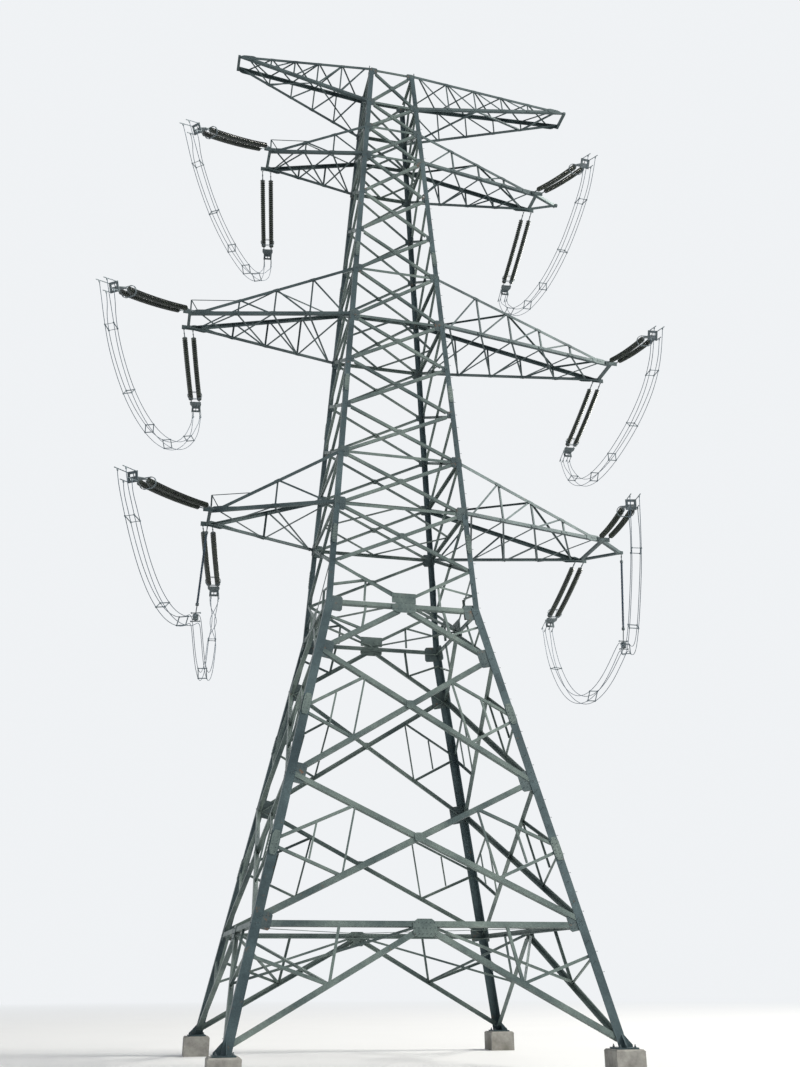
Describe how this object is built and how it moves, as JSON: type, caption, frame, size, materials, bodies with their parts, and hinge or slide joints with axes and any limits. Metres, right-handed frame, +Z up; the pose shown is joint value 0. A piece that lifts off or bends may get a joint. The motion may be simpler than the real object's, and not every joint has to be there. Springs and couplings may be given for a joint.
{
  "type": "lattice transmission pylon, 1:20 scale model",
  "caption": "Square lattice steel tower with four legs, crossed bracing, paired crossarms, insulator strings and jumper loops, for carrying an overhead power line.",
  "frame": {"origin": "on the ground plane under the middle of the square body, level with the undersides of the four piers", "axes": "+Z up; X along the crossarms, +X towards the longer arms on the right of the picture; +Y along the line, away from the viewer"},
  "size_m": [1.5226, 0.9513, 2.8583],
  "materials": {
    "leg_steel": "weathered galvanised steel, dull blue-green grey",
    "bracing_steel": "weathered galvanised steel, slightly lighter than the legs",
    "insulator": "dark glazed porcelain discs with steel fittings",
    "conductor": "dull stranded aluminium",
    "concrete": "rough grey cast concrete"
  },
  "bodies": {
    "root": {"hip_bracing": "bracing_steel", "jumper_lower_left": "conductor", "jumper_lower_right": "conductor", "jumper_middle_left": "conductor", "jumper_middle_right": "conductor", "jumper_upper_left": "conductor", "jumper_upper_right": "conductor", "leg_back_left": "leg_steel", "leg_back_right": "leg_steel", "leg_front_left": "leg_steel", "leg_front_right": "leg_steel", "lower_arm_left": "bracing_steel", "lower_arm_right": "bracing_steel", "lower_bracing_back": "bracing_steel", "lower_bracing_front": "bracing_steel", "lower_bracing_left": "bracing_steel", "lower_bracing_right": "bracing_steel", "middle_arm_left": "bracing_steel", "middle_arm_right": "bracing_steel", "peak_arm_left": "bracing_steel", "peak_arm_right": "bracing_steel", "pier_back_left": "concrete", "pier_back_right": "concrete", "pier_front_left": "concrete", "pier_front_right": "concrete", "plan_bracing": "bracing_steel", "strings_far_lower_left": "insulator", "strings_far_lower_right": "insulator", "strings_far_middle_left": "insulator", "strings_far_middle_right": "insulator", "strings_far_upper_left": "insulator", "strings_far_upper_right": "insulator", "strings_near_lower_left": "insulator", "strings_near_lower_right": "insulator", "strings_near_middle_left": "insulator", "strings_near_middle_right": "insulator", "strings_near_upper_left": "insulator", "strings_near_upper_right": "insulator", "support_string_left": "insulator", "support_string_right": "insulator", "upper_arm_left": "bracing_steel", "upper_arm_right": "bracing_steel", "upper_bracing_back": "bracing_steel", "upper_bracing_front": "bracing_steel", "upper_bracing_left": "bracing_steel", "upper_bracing_right": "bracing_steel"}
  },
  "joints": []
}
